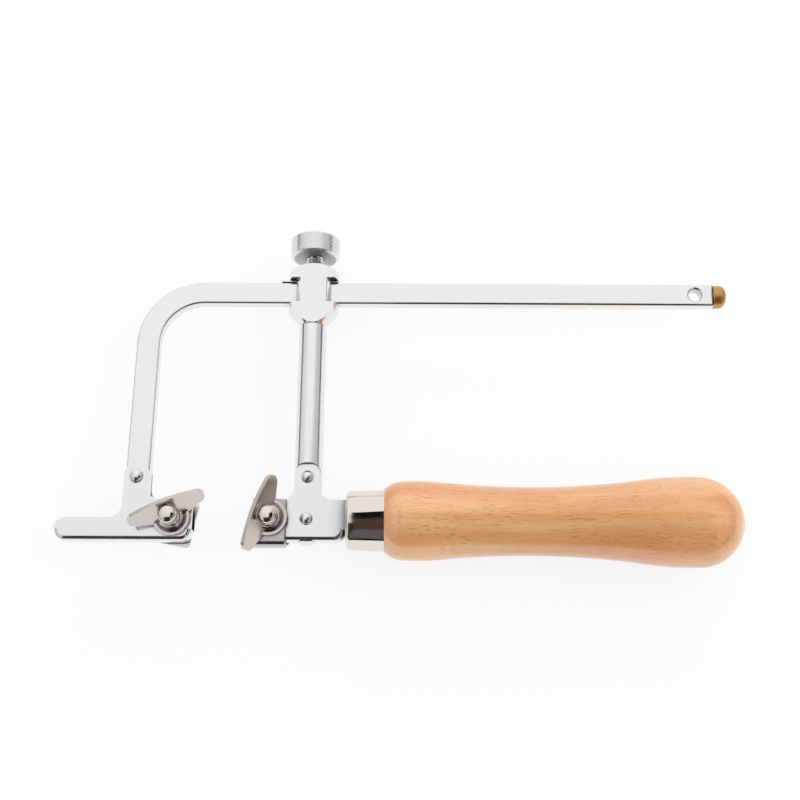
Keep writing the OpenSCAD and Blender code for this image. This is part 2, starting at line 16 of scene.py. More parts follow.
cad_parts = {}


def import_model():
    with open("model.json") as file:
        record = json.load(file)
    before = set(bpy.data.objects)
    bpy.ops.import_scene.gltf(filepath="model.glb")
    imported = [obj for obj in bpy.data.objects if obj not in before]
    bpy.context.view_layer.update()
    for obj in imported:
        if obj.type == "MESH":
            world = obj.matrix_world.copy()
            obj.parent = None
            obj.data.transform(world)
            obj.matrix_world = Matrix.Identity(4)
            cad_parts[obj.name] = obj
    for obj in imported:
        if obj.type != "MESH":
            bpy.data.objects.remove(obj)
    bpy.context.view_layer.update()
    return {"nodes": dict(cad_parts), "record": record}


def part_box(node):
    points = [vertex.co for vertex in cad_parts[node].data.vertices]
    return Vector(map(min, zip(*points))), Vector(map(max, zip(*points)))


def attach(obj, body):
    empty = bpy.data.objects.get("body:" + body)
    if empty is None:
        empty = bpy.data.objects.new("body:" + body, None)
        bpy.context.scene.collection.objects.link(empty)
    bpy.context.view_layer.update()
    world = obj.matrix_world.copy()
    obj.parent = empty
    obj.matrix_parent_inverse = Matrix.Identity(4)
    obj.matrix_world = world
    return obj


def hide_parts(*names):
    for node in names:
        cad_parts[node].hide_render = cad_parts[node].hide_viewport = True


MM = 0.001
WELD_REACH = 0.001 * MM
FLAT_DEGREES = 0.4
VECTOR = "NodeSocketVector"
FLOAT = "NodeSocketFloat"
LOG = logging.getLogger("fret_saw")

Triple = tuple[float, float, float]
Colour = Triple


class Slot(Enum):
    """Names of the record's material slots."""

    BRIGHT_PLATE = "bright_plate"
    NICKEL = "nickel"
    ZINC = "zinc"


class Axis(Enum):
    """Direction that a turned piece's axis takes in the frame."""

    Y = "y"
    Z = "z"

    def turn(self) -> Matrix:
        """Rotation that brings local Z onto this axis."""
        return Matrix.Rotation(-math.pi / 2, 4, "X") if self is Axis.Y else Matrix.Identity(4)


def rgba(colour: Colour) -> tuple[float, float, float, float]:
    """Opaque colour with its alpha."""
    return (*colour, 1.0)


class Graph:
    """Adds nodes to one node tree, sets their sockets and links them."""

    def __init__(self, tree: bpy.types.NodeTree) -> None:
        """Start from an empty tree.

        Args:
            tree: node tree of a material, a world or a group.
        """
        self.tree = tree
        tree.nodes.clear()

    def add(self, kind: str, inputs: dict[str | int, Any] | None = None, **settings: Any) -> bpy.types.Node:
        """Add one node.

        Args:
            kind: Blender's name of the node type.
            inputs: values or output sockets by input name or index.
            settings: properties of the node.

        Returns:
            The new node.
        """
        node = self.tree.nodes.new(kind)
        for key, value in settings.items():
            setattr(node, key, value)
        for key, value in (inputs or {}).items():
            if isinstance(value, bpy.types.NodeSocket):
                self.tree.links.new(value, node.inputs[key])
            else:
                node.inputs[key].default_value = value
        return node

    def math(self, operation: str, first: Any, second: Any = 0.0) -> bpy.types.NodeSocket:
        """Math node on two values or sockets; returns its output."""
        return self.add("ShaderNodeMath", {0: first, 1: second}, operation=operation).outputs[0]

    def ramp(
        self, value: Any, low: float, high: float, out_low: Any = 0.0, out_high: Any = 1.0
    ) -> bpy.types.NodeSocket:
        """Smooth ramp of a value.

        Args:
            value: socket to map.
            low: value that gives out_low.
            high: value that gives out_high.
            out_low: lower result.
            out_high: upper result.

        Returns:
            The mapped value's socket.
        """
        node = self.add(
            "ShaderNodeMapRange",
            {"Value": value, "From Min": low, "From Max": high, "To Min": out_low, "To Max": out_high},
            interpolation_type="SMOOTHSTEP",
        )
        return node.outputs[0]

    def mix(self, share: Any, first: Any, second: Any) -> bpy.types.NodeSocket:
        """Colour mix by a share; returns its output."""
        node = self.add("ShaderNodeMix", data_type="RGBA")
        for index, value in ((0, share), (6, first), (7, second)):
            if isinstance(value, bpy.types.NodeSocket):
                self.tree.links.new(value, node.inputs[index])
            else:
                node.inputs[index].default_value = value
        return node.outputs[2]

    def stretched(self, vector: Any, scale: Sequence[float]) -> bpy.types.NodeSocket:
        """Coordinates multiplied per axis; returns the output."""
        node = self.add("ShaderNodeVectorMath", {0: vector, 1: tuple(scale)}, operation="MULTIPLY")
        return node.outputs[0]

    def noise(
        self, vector: Any, scale: Any = 1.0, detail: float = 2.0, roughness: float = 0.5
    ) -> bpy.types.NodeSocket:
        """Noise between 0 and 1.

        Args:
            vector: coordinates.
            scale: cells per unit of the coordinates.
            detail: octaves.
            roughness: strength of the finer octaves.

        Returns:
            The noise value's socket.
        """
        node = self.add(
            "ShaderNodeTexNoise",
            {"Vector": vector, "Scale": scale, "Detail": detail, "Roughness": roughness},
        )
        return node.outputs[0]


class EffectGroups:
    """Shader node groups shared by several finishes, each built once."""

    def __init__(self) -> None:
        """Build the groups."""
        self.handling = self._make(
            "handling_marks",
            {"Vector": VECTOR, "Scale": FLOAT, "Low": FLOAT, "High": FLOAT},
            {"Roughness": FLOAT},
            self._handling,
        )
        self.hairlines = self._make(
            "hairlines",
            {"Vector": VECTOR, "Scale": FLOAT, "Amount": FLOAT},
            {"Mask": FLOAT},
            self._hairlines,
        )
        self.edge_tone = self._make(
            "edge_tone",
            {"Vector": VECTOR, "Scale": FLOAT, "Reach": FLOAT},
            {"Mask": FLOAT},
            self._edge_tone,
        )
        # Painted shade: ambient occlusion darkens the metal's colour in slots, holes and gaps.
        self.recess = self._make(
            "ao_painted_shade",
            {"Reach": FLOAT, "Floor": FLOAT},
            {"Share": FLOAT},
            self._recess,
        )

    @staticmethod
    def _make(
        name: str,
        inputs: dict[str, str],
        outputs: dict[str, str],
        fill: Callable[[Graph, bpy.types.Node], dict[str, bpy.types.NodeSocket]],
    ) -> bpy.types.ShaderNodeTree:
        """Make one group with its interface.

        Args:
            name: group name.
            inputs: socket types by input name.
            outputs: socket types by output name.
            fill: adds the nodes and returns the result socket of each output.

        Returns:
            The node group.
        """
        tree = bpy.data.node_groups.new(name, "ShaderNodeTree")
        graph = Graph(tree)
        for label, kind in inputs.items():
            tree.interface.new_socket(label, in_out="INPUT", socket_type=kind)
        for label, kind in outputs.items():
            tree.interface.new_socket(label, in_out="OUTPUT", socket_type=kind)
        results = fill(graph, graph.add("NodeGroupInput"))
        graph.add("NodeGroupOutput", dict(results))
        return tree

    @staticmethod
    def _handling(graph: Graph, given: bpy.types.Node) -> dict[str, bpy.types.NodeSocket]:
        """Soft blotches between two roughness values."""
        cloud = graph.noise(given.outputs["Vector"], given.outputs["Scale"], 3.0)
        result = graph.ramp(cloud, 0.35, 0.65, given.outputs["Low"], given.outputs["High"])
        return {"Roughness": result}

    @staticmethod
    def _hairlines(graph: Graph, given: bpy.types.Node) -> dict[str, bpy.types.NodeSocket]:
        """Thin broken scratches in two directions."""
        total: Any = None
        for scale in ((0.06, 1.0, 1.0), (1.0, 0.05, 0.7)):
            along = graph.stretched(given.outputs["Vector"], scale)
            line = graph.ramp(graph.noise(along, given.outputs["Scale"], 1.0), 0.64, 0.7)
            total = line if total is None else graph.math("MAXIMUM", total, line)
        return {"Mask": graph.math("MULTIPLY", total, given.outputs["Amount"])}

    @staticmethod
    def _edge_tone(graph: Graph, given: bpy.types.Node) -> dict[str, bpy.types.NodeSocket]:
        """Broken mask along edges, from the angle between the surface and its rounded neighbourhood."""
        rounded = graph.add("ShaderNodeBevel", {"Radius": given.outputs["Reach"]}, samples=4).outputs[0]
        flat = graph.add("ShaderNodeNewGeometry").outputs["Normal"]
        same = graph.add("ShaderNodeVectorMath", {0: rounded, 1: flat}, operation="DOT_PRODUCT")
        edge = graph.ramp(same.outputs["Value"], 0.995, 0.85)
        broken = graph.ramp(graph.noise(given.outputs["Vector"], given.outputs["Scale"], 4.0), 0.3, 0.7)
        return {"Mask": graph.math("MULTIPLY", edge, broken)}

    @staticmethod
    def _recess(graph: Graph, given: bpy.types.Node) -> dict[str, bpy.types.NodeSocket]:
        """Painted shade: share of the plating's colour kept in slots, holes and gaps, from ambient occlusion.
        """
        sky = graph.add("ShaderNodeAmbientOcclusion", {"Distance": given.outputs["Reach"]}, samples=8)
        return {"Share": graph.ramp(sky.outputs["AO"], 0.3, 0.72, given.outputs["Floor"], 1.0)}


def new_material(name: str) -> tuple[Graph, bpy.types.Material]:
    """Empty node material and its graph."""
    material = bpy.data.materials.new(name)
    material.use_nodes = True
    return Graph(material.node_tree), material


@dataclass(frozen=True)
class MetalFinish:
    """Plated or solid metal with handling marks, hairlines, a slightly rippled surface and painted shade in
    its slots, holes and gaps.

    Attributes:
        name: material name.
        colour: reflection colour.
        edge_colour: reflection colour along edges.
        smooth: roughness of the clean parts.
        rough: roughness of the handled parts.
        ripple_height: depth of the surface's ripple in metres.
        ripple_scale: ripples per metre.
        hairline_share: how strongly the scratches show.
        painted_shade_floor: share of the colour kept in the deepest gaps, under the painted shade.
        painted_shade_reach: how far a gap's painted shade reaches.
        painted_gap_shade: colour of the painted shade in the deepest gaps.
        blotch_scale: handling marks per metre.
        line_scale: scratches per metre.
        line_gloss: roughness that a scratch adds.
        line_depth: depth of a scratch as a share of the ripple.
        edge_scale: breaks per metre in the edges' tone.
        edge_reach: how far the edges' tone reaches.
    """

    name: str
    colour: Colour
    edge_colour: Colour
    smooth: float
    rough: float
    ripple_height: float = 0.006 * MM
    ripple_scale: float = 260.0
    hairline_share: float = 0.5
    # These three set the painted shade in slots, holes and gaps.
    painted_shade_floor: float = 0.6
    painted_shade_reach: float = 6.0 * MM
    painted_gap_shade: Colour = (0.01, 0.01, 0.01)
    blotch_scale: float = 55.0
    line_scale: float = 900.0
    line_gloss: float = 0.06
    line_depth: float = 0.12
    edge_scale: float = 700.0
    edge_reach: float = 0.25 * MM

    def build(self, groups: EffectGroups) -> bpy.types.Material:
        """Build the material.

        Args:
            groups: shared effect groups.

        Returns:
            The material.
        """
        graph, material = new_material(self.name)
        place = graph.add("ShaderNodeTexCoord").outputs["Object"]
        blotch = graph.add("ShaderNodeGroup", node_tree=groups.handling)
        lines = graph.add("ShaderNodeGroup", node_tree=groups.hairlines)
        edge = graph.add("ShaderNodeGroup", node_tree=groups.edge_tone)
        for node, values in (
            (blotch, {"Scale": self.blotch_scale, "Low": self.smooth, "High": self.rough}),
            (lines, {"Scale": self.line_scale, "Amount": self.hairline_share}),
            (edge, {"Scale": self.edge_scale, "Reach": self.edge_reach}),
        ):
            graph.tree.links.new(place, node.inputs["Vector"])
            for key, value in values.items():
                node.inputs[key].default_value = value
        # Painted shade: ambient occlusion turns the colour towards painted_gap_shade in slots, holes and
        # gaps.
        recess = graph.add("ShaderNodeGroup", node_tree=groups.recess)
        recess.inputs["Reach"].default_value = self.painted_shade_reach
        recess.inputs["Floor"].default_value = self.painted_shade_floor
        tone = graph.mix(edge.outputs["Mask"], rgba(self.colour), rgba(self.edge_colour))
        tone = graph.mix(recess.outputs["Share"], rgba(self.painted_gap_shade), tone)
        scratch = lines.outputs["Mask"]
        dulled = graph.math("MULTIPLY", scratch, self.line_gloss)
        gloss = graph.math("ADD", blotch.outputs["Roughness"], dulled)
        ripple = graph.noise(place, self.ripple_scale, 2.0)
        height = graph.math("SUBTRACT", ripple, graph.math("MULTIPLY", scratch, self.line_depth))
        relief = {"Strength": 1.0, "Distance": self.ripple_height, "Height": height}
        bump = graph.add("ShaderNodeBump", relief)
        shader = graph.add(
            "ShaderNodeBsdfPrincipled",
            {"Base Color": tone, "Metallic": 1.0, "Roughness": gloss, "Normal": bump.outputs[0]},
        )
        graph.add("ShaderNodeOutputMaterial", {"Surface": shader.outputs[0]})
        return material


@dataclass(frozen=True)
class BeechFinish:
    """Clear-lacquered beech with long tone bands and short dark flecks along the grain.

    Attributes:
        name: material name.
        pale: colour of the pale wood.
        warm: colour of the warmer bands.
        deep: colour of the dark bands.
        fleck: colour of the flecks.
        roughness: lowest and highest roughness.
        coat: weight of the lacquer.
        coat_roughness: roughness of the lacquer.
        coat_ior: index of refraction of the lacquer.
        bend_cells: cells per metre of the grain's drift.
        bend_reach: how far the grain drifts.
        band_cells: cells per metre of the tone bands.
        fibre_cells: cells per metre of the fibres.
        fleck_cells: cells per metre of the flecks.
        gather_cells: cells per metre of the places where flecks gather.
        gather_share: strength of the flecks in sparse and in dense places.
        blotch_scale: handling marks per metre.
        fibre_relief: height of the fibres as a share of the flecks' depth.
        fleck_depth: depth of the flecks in metres.
    """

    name: str = "lacquered_beech"
    pale: Colour = (0.81, 0.44, 0.185)
    warm: Colour = (0.70, 0.29, 0.09)
    deep: Colour = (0.50, 0.18, 0.06)
    fleck: Colour = (0.34, 0.115, 0.04)
    roughness: tuple[float, float] = (0.36, 0.5)
    coat: float = 1.0
    coat_roughness: float = 0.22
    coat_ior: float = 1.85
    bend_cells: Triple = (18.0, 40.0, 40.0)
    bend_reach: Triple = (0.0, 0.006, 0.006)
    band_cells: Triple = (6.0, 65.0, 65.0)
    fibre_cells: Triple = (70.0, 1500.0, 1500.0)
    fleck_cells: Triple = (210.0, 3300.0, 3300.0)
    gather_cells: Triple = (30.0, 120.0, 120.0)
    gather_share: tuple[float, float] = (0.1, 0.6)
    blotch_scale: float = 45.0
    fibre_relief: float = 0.4
    fleck_depth: float = 0.012 * MM

    def build(self, groups: EffectGroups) -> bpy.types.Material:
        """Build the material.

        Args:
            groups: shared effect groups.

        Returns:
            The material.
        """
        graph, material = new_material(self.name)
        place = graph.add("ShaderNodeTexCoord").outputs["Object"]
        bend = graph.noise(graph.stretched(place, self.bend_cells), 1.0, 1.0)
        shifted = graph.add("ShaderNodeVectorMath", {0: place}, operation="MULTIPLY_ADD")
        graph.tree.links.new(graph.stretched(bend, self.bend_reach), shifted.inputs[2])
        shifted.inputs[1].default_value = (1.0, 1.0, 1.0)
        grain = shifted.outputs[0]
        bands = graph.noise(graph.stretched(grain, self.band_cells), 1.0, 3.0, 0.6)
        fibre = graph.noise(graph.stretched(grain, self.fibre_cells), 1.0, 3.0, 0.6)
        speck = graph.noise(graph.stretched(grain, self.fleck_cells), 1.0, 1.0, 0.4)
        gather = graph.noise(graph.stretched(grain, self.gather_cells), 1.0, 2.0)
        tone = graph.mix(graph.ramp(bands, 0.39, 0.62), rgba(self.pale), rgba(self.warm))
        tone = graph.mix(graph.ramp(fibre, 0.5, 0.95), tone, rgba(self.deep))
        strength = graph.ramp(gather, 0.3, 0.65, *self.gather_share)
        mask = graph.math("MULTIPLY", graph.ramp(speck, 0.6, 0.68), strength)
        tone = graph.mix(mask, tone, rgba(self.fleck))
        blotch = graph.add("ShaderNodeGroup", {"Vector": place}, node_tree=groups.handling)
        for key, value in zip(("Scale", "Low", "High"), (self.blotch_scale, *self.roughness)):
            blotch.inputs[key].default_value = value
        height = graph.math("SUBTRACT", graph.math("MULTIPLY", fibre, self.fibre_relief), mask)
        bump = graph.add("ShaderNodeBump", {"Strength": 1.0, "Distance": self.fleck_depth, "Height": height})
        shader = graph.add(
            "ShaderNodeBsdfPrincipled",
            {
                "Base Color": tone,
                "Roughness": blotch.outputs["Roughness"],
                "Normal": bump.outputs[0],
                "Coat Weight": self.coat,
                "Coat Roughness": self.coat_roughness,
                "Coat IOR": self.coat_ior,
            },
        )
        graph.add("ShaderNodeOutputMaterial", {"Surface": shader.outputs[0]})
        return material


@dataclass(frozen=True)
class EdgeBreak:
    """Rounded outer edges of a solid.

    Attributes:
        width: width of the rounding in metres.
        segments: faces across the rounding.
        angle: smallest angle between faces that is rounded, in degrees.
    """

    width: float = 0.25 * MM
    segments: int = 3
    angle: float = 32.0


class Bench:
    """The loaded frame with its solids and the finishes that dress them."""

    def __init__(self, nodes: dict[str, bpy.types.Object], finishes: dict[str, bpy.types.Material]) -> None:
        """Keep the solids and finishes.

        Args:
            nodes: CAD objects by node name.
            finishes: materials by name.
        """
        self.nodes = nodes
        self.finishes = finishes

    def dress(self, node: str, finish: str, edge: EdgeBreak) -> None:
        """Give a solid its finish and soft edges.

        Args:
            node: CAD node.
            finish: name of the material.
            edge: rounding of the outer edges.
        """
        solid = self.nodes[node]
        mesh = solid.data
        mesh.materials.clear()
        mesh.materials.append(self.finishes[finish])
        if "custom_normal" in mesh.attributes:
            mesh.attributes.remove(mesh.attributes["custom_normal"])
        mesh.shade_smooth()
        weld = solid.modifiers.new("join", "WELD")
        weld.merge_threshold = WELD_REACH
        merge = solid.modifiers.new("flat_faces", "DECIMATE")
        merge.decimate_type = "DISSOLVE"
        merge.angle_limit = math.radians(FLAT_DEGREES)
        bevel = solid.modifiers.new("edge_break", "BEVEL")
        bevel.width = edge.width
        bevel.segments = edge.segments
        bevel.limit_method = "ANGLE"
        bevel.angle_limit = math.radians(edge.angle)
        bevel.harden_normals = True
        normals = solid.modifiers.new("normals", "WEIGHTED_NORMAL")
        normals.keep_sharp = False
        LOG.info("dressed %s in %s", node, finish)

    def place(self, piece: bpy.types.Object, node: str, body: str, slot: Slot, finish: str) -> None:
        """Put a new piece in the place of a solid.

        Args:
            piece: new object.
            node: CAD node that it stands for.
            body: body that it rides on.
            slot: the record's material slot; not used.
            finish: name of the material.
        """
        piece.data.materials.append(self.finishes[finish])
        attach(piece, body)
        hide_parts(node)
        LOG.info("made %s for %s on %s", piece.name, node, body)


class TurnedMesh:
    """Closed mesh grown ring by ring along local Z, with a point at each end."""

    def __init__(self, shares: Sequence[float]) -> None:
        """Start an empty mesh.

        Args:
            shares: place of each ring's points as shares of a turn.
        """
        self.shares = shares
        self.columns = len(shares)
        self.points: list[Vector] = []
        self.faces: list[tuple[int, ...]] = []
        self.last: int | None = None
        self.pole: int | None = None

    def point(self, radius: float, share: float, height: float) -> int:
        """Add a point by its radius, share of a turn and height; returns its index."""
        turn = 2.0 * math.pi * share
        self.points.append(Vector((radius * math.cos(turn), radius * math.sin(turn), height)))
        return len(self.points) - 1

    def tip(self, height: float) -> None:
        """Point on the axis, at the start or the end."""
        self.points.append(Vector((0.0, 0.0, height)))
        index = len(self.points) - 1
        if self.last is None:
            self.pole = index
            return
        for k in range(self.columns):
            self.faces.append((self.last + k, self.last + (k + 1) % self.columns, index))

    def ring(self, radius: Callable[[int], float], height: float, joined: bool = True) -> None:
        """Add a ring and join it to the one before.

        Args:
            radius: radius of each column.
            height: height along the axis.
            joined: whether faces join it to the ring before.
        """
        first = len(self.points)
        for k, share in enumerate(self.shares):
            self.point(radius(k), share, height)
        for k in range(self.columns if joined else 0):
            n = (k + 1) % self.columns
            if self.last is None:
                self.faces.append((self.pole, first + n, first + k))
            else:
                self.faces.append((self.last + k, self.last + n, first + n, first + k))
        self.last = first

    def plain(self, radius: float, height: float) -> None:
        """Add a round ring."""
        self.ring(lambda _: radius, height)

    def finish(self, name: str, place: Matrix, sharp_degrees: float) -> bpy.types.Object:
        """Make the object.

        Args:
            name: object name.
            place: matrix from the local axis to the frame.
            sharp_degrees: edges above this angle stay sharp.

        Returns:
            The linked object.
        """
        mesh = bpy.data.meshes.new(name)
        mesh.from_pydata([place @ p for p in self.points], [], self.faces)
        mesh.validate()
        mesh.update()
        mesh.shade_smooth()
        mesh.set_sharp_from_angle(angle=math.radians(sharp_degrees))
        piece = bpy.data.objects.new(name, mesh)
        bpy.context.scene.collection.objects.link(piece)
        return piece


@dataclass
class ThreadedRod:
    """Screw or stud with a helical thread on part of its length.

    Attributes:
        node: CAD node that it stands for.
        body: body that it rides on.
        axis: direction of its axis.
        pitch: distance between threads.
        depth: depth of the thread.
        thread: start and end of the thread, from the lowest end.
        radius: radius of the shank.
        finish: name of its material.
        low_dome: radius and height of the riveted lower end, or zeros.
        end_reach: how far the rounding of the upper end reaches inwards.
        end_height: height of that rounding.
        columns: points round the rod.
        rows_per_turn: rings per turn of the thread.
        round_steps: rings across a rounded end.
        shoulder: step between the lower dome and the shank.
        sharp_degrees: edges above this angle stay sharp.
    """

    node: str
    body: str
    axis: Axis
    pitch: float
    depth: float
    thread: tuple[float, float]
    radius: float
    finish: str
    low_dome: tuple[float, float] = (0.0, 0.0)
    end_reach: float = 0.3 * MM
    end_height: float = 0.3 * MM
    columns: int = 40
    rows_per_turn: int = 8
    round_steps: int = 6
    shoulder: float = 0.001 * MM
    sharp_degrees: float = 35.0

    def build(self, bench: Bench) -> None:
        """Build the rod and put it in the place of its solid.

        Args:
            bench: solids and finishes.
        """
        low, high = (Vector(corner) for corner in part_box(self.node))
        middle = (low + high) / 2.0
        along = 1 if self.axis is Axis.Y else 2
        length = high[along] - low[along]
        radius = self.radius
        middle[along] = low[along]
        place = Matrix.Translation(middle) @ self.axis.turn()
        mesh = TurnedMesh([k / self.columns for k in range(self.columns)])
        mesh.tip(0.0)
        dome_r, dome_h = self.low_dome
        steps = self.round_steps
        if dome_h:
            for i in range(1, steps + 1):
                turn = math.pi / 2 * i / steps
                mesh.plain(dome_r * math.sin(turn), dome_h * (1.0 - math.cos(turn)))
            mesh.plain(radius, dome_h + self.shoulder)
        else:
            mesh.plain(radius - self.end_reach, 0.0)
            mesh.plain(radius, self.end_height)
        rows = round((self.thread[1] - self.thread[0]) / self.pitch * self.rows_per_turn)
        for i in range(rows + 1):
            height = self.thread[0] + (self.thread[1] - self.thread[0]) * i / rows
            fade = min(1.0, min(i, rows - i) / self.rows_per_turn)
            mesh.ring(self._crest(radius, height, fade), height)
        for i in range(steps + 1):
            turn = math.pi / 2 * i / steps
            ring_r = radius - self.end_reach * (1.0 - math.cos(turn))
            mesh.plain(ring_r, length - self.end_height * (1.0 - math.sin(turn)))
        mesh.tip(length)
        piece = mesh.finish(f"{self.node}_threaded", place, self.sharp_degrees)
        bench.place(piece, self.node, self.body, Slot.NICKEL, self.finish)

    def _crest(self, radius: float, height: float, fade: float) -> Callable[[int], float]:
        """Radius of the thread at each column of one row."""

        def at(column: int) -> float:
            """Radius at one column."""
            phase = (height / self.pitch - column / self.columns) % 1.0
            return radius - self.depth * fade * (1.0 - abs(2.0 * phase - 1.0))

        return at


@dataclass
class FrameArm:
    """Bent flat bar with the front foot, its rivet and bush, and the brass stop.

    Attributes:
        bar_width: width of the flat bar.
        bend_radius: inner radius of the bend.
        bar_round: rounding of the bar's edges.
        round_steps: fineness of that rounding.
        rivet_radius: radius of the rivet's hole.
        foot_edge: edges of the pressed foot.
        small_edge: edges of the small pieces.
    """

    bar_width: float = 8.0 * MM
    bend_radius: float = 14.5 * MM
    bar_round: float = 0.85 * MM
    round_steps: int = 4
    rivet_radius: float = 1.5 * MM
    foot_edge: EdgeBreak = field(default_factory=lambda: EdgeBreak(0.36 * MM))
    small_edge: EdgeBreak = field(default_factory=lambda: EdgeBreak(0.15 * MM))

    def build(self, bench: Bench, hang_hole: dict[str, Any]) -> None:
        """Build the bar and dress the other solids of the fixed frame.

        Args:
            bench: solids and finishes.
            hang_hole: the record's entry for the hanging hole.
        """
        self._bar(bench, hang_hole)
        bench.dress("front_foot", "bright_plate", self.foot_edge)
        bench.dress("leg_rivet", "bright_plate", self.small_edge)
        bench.dress("front_spacer", "bright_plate", self.small_edge)
        bench.dress("stop_screw", "polished_brass", self.small_edge)

    def _bar(self, bench: Bench, hang_hole: dict[str, Any]) -> None:
        """Bar, bend and leg as one strip with rounded edges, cut from its outline.

        Args:
            bench: solids and finishes.
            hang_hole: the record's entry for the hanging hole.
        """
        low, high = (Vector(corner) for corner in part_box("frame_bar"))
        rivet = sum((Vector(corner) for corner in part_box("leg_rivet")), Vector()) / 2.0
        bend = Vector((low.x + self.bar_width + self.bend_radius, high.y - self.bar_width - self.bend_radius))
        inner = self._arc(bend, self.bend_radius, math.pi, math.pi / 2)
        outer = self._arc(bend, self.bend_radius + self.bar_width, math.pi / 2, math.pi)
        outline = [(low.x + self.bar_width, low.y), *inner, (high.x, high.y - self.bar_width)]
        outline += [(high.x, high.y), *outer, (low.x, low.y)]
        holes = [(Vector(hang_hole["pos_m"]), hang_hole["dims"]["r_mm"] * MM), (rivet, self.rivet_radius)]
        curve = bpy.data.curves.new("flat_bar_outline", "CURVE")
        curve.dimensions = "2D"
        curve.fill_mode = "BOTH"
        curve.extrude = (high.z - low.z) / 2.0 - self.bar_round
        curve.bevel_depth = self.bar_round
        curve.bevel_resolution = self.round_steps
        curve.offset = -self.bar_round
        for loop in (outline, *(self._arc(centre, r, 0.0, 2.0 * math.pi)[:-1] for centre, r in holes)):
            spline = curve.splines.new("POLY")
            spline.points.add(len(loop) - 1)
            for point, (x, y) in zip(spline.points, loop):
                point.co = (x, y, 0.0, 1.0)
            spline.use_cyclic_u = True
        holder = bpy.data.objects.new("flat_bar_outline", curve)
        mesh = bpy.data.meshes.new_from_object(holder)
        bpy.data.objects.remove(holder)
        mesh.transform(Matrix.Translation((0.0, 0.0, (low.z + high.z) / 2.0)))
        mesh.materials.clear()
        mesh.shade_smooth()
        piece = bpy.data.objects.new("flat_bar", mesh)
        bpy.context.scene.collection.objects.link(piece)
        piece.modifiers.new("join", "WELD").merge_threshold = WELD_REACH
        piece.modifiers.new("normals", "WEIGHTED_NORMAL").keep_sharp = False
        bench.place(piece, "frame_bar", "frame", Slot.BRIGHT_PLATE, "bar_plate")

    @staticmethod
    def _arc(
        centre: Vector, radius: float, start: float, end: float, steps: int = 48
    ) -> list[tuple[float, float]]:
        """Points of an arc in the saw's plane, from one angle to the other."""
        turns = [start + (end - start) * i / steps for i in range(steps + 1)]
        return [(centre.x + radius * math.cos(t), centre.y + radius * math.sin(t)) for t in turns]


@dataclass
class SlidingPost:
    """Turned head, post, rear foot and keeper that slide along the bar.

    Attributes:
        head_edge: edges of the turned head.
        foot_edge: edges of the pressed foot and keeper.
        small_edge: edges of the small pieces.
    """

    head_edge: EdgeBreak = field(default_factory=lambda: EdgeBreak(0.3 * MM))
    foot_edge: EdgeBreak = field(default_factory=lambda: EdgeBreak(0.36 * MM))
    small_edge: EdgeBreak = field(default_factory=lambda: EdgeBreak(0.15 * MM))

    def dress(self, bench: Bench) -> None:
        """Dress the solids of the slider."""
        bench.dress("sliding_head", "bright_plate", self.head_edge)
        bench.dress("post", "bright_plate", self.small_edge)
        bench.dress("rear_foot", "bright_plate", self.foot_edge)
        bench.dress("pressure_pad", "silver_nickel", self.small_edge)
        # The keeper's nickel_grey_and_shade is darker partly for its own tone and partly as painted shade of
        # the wing nut over it.
        bench.dress("rear_keeper", "nickel_grey_and_shade", self.foot_edge)
        for node in ("upper_post_rivet", "lower_post_rivet", "rear_spacer"):
            bench.dress(node, "bright_plate", self.small_edge)


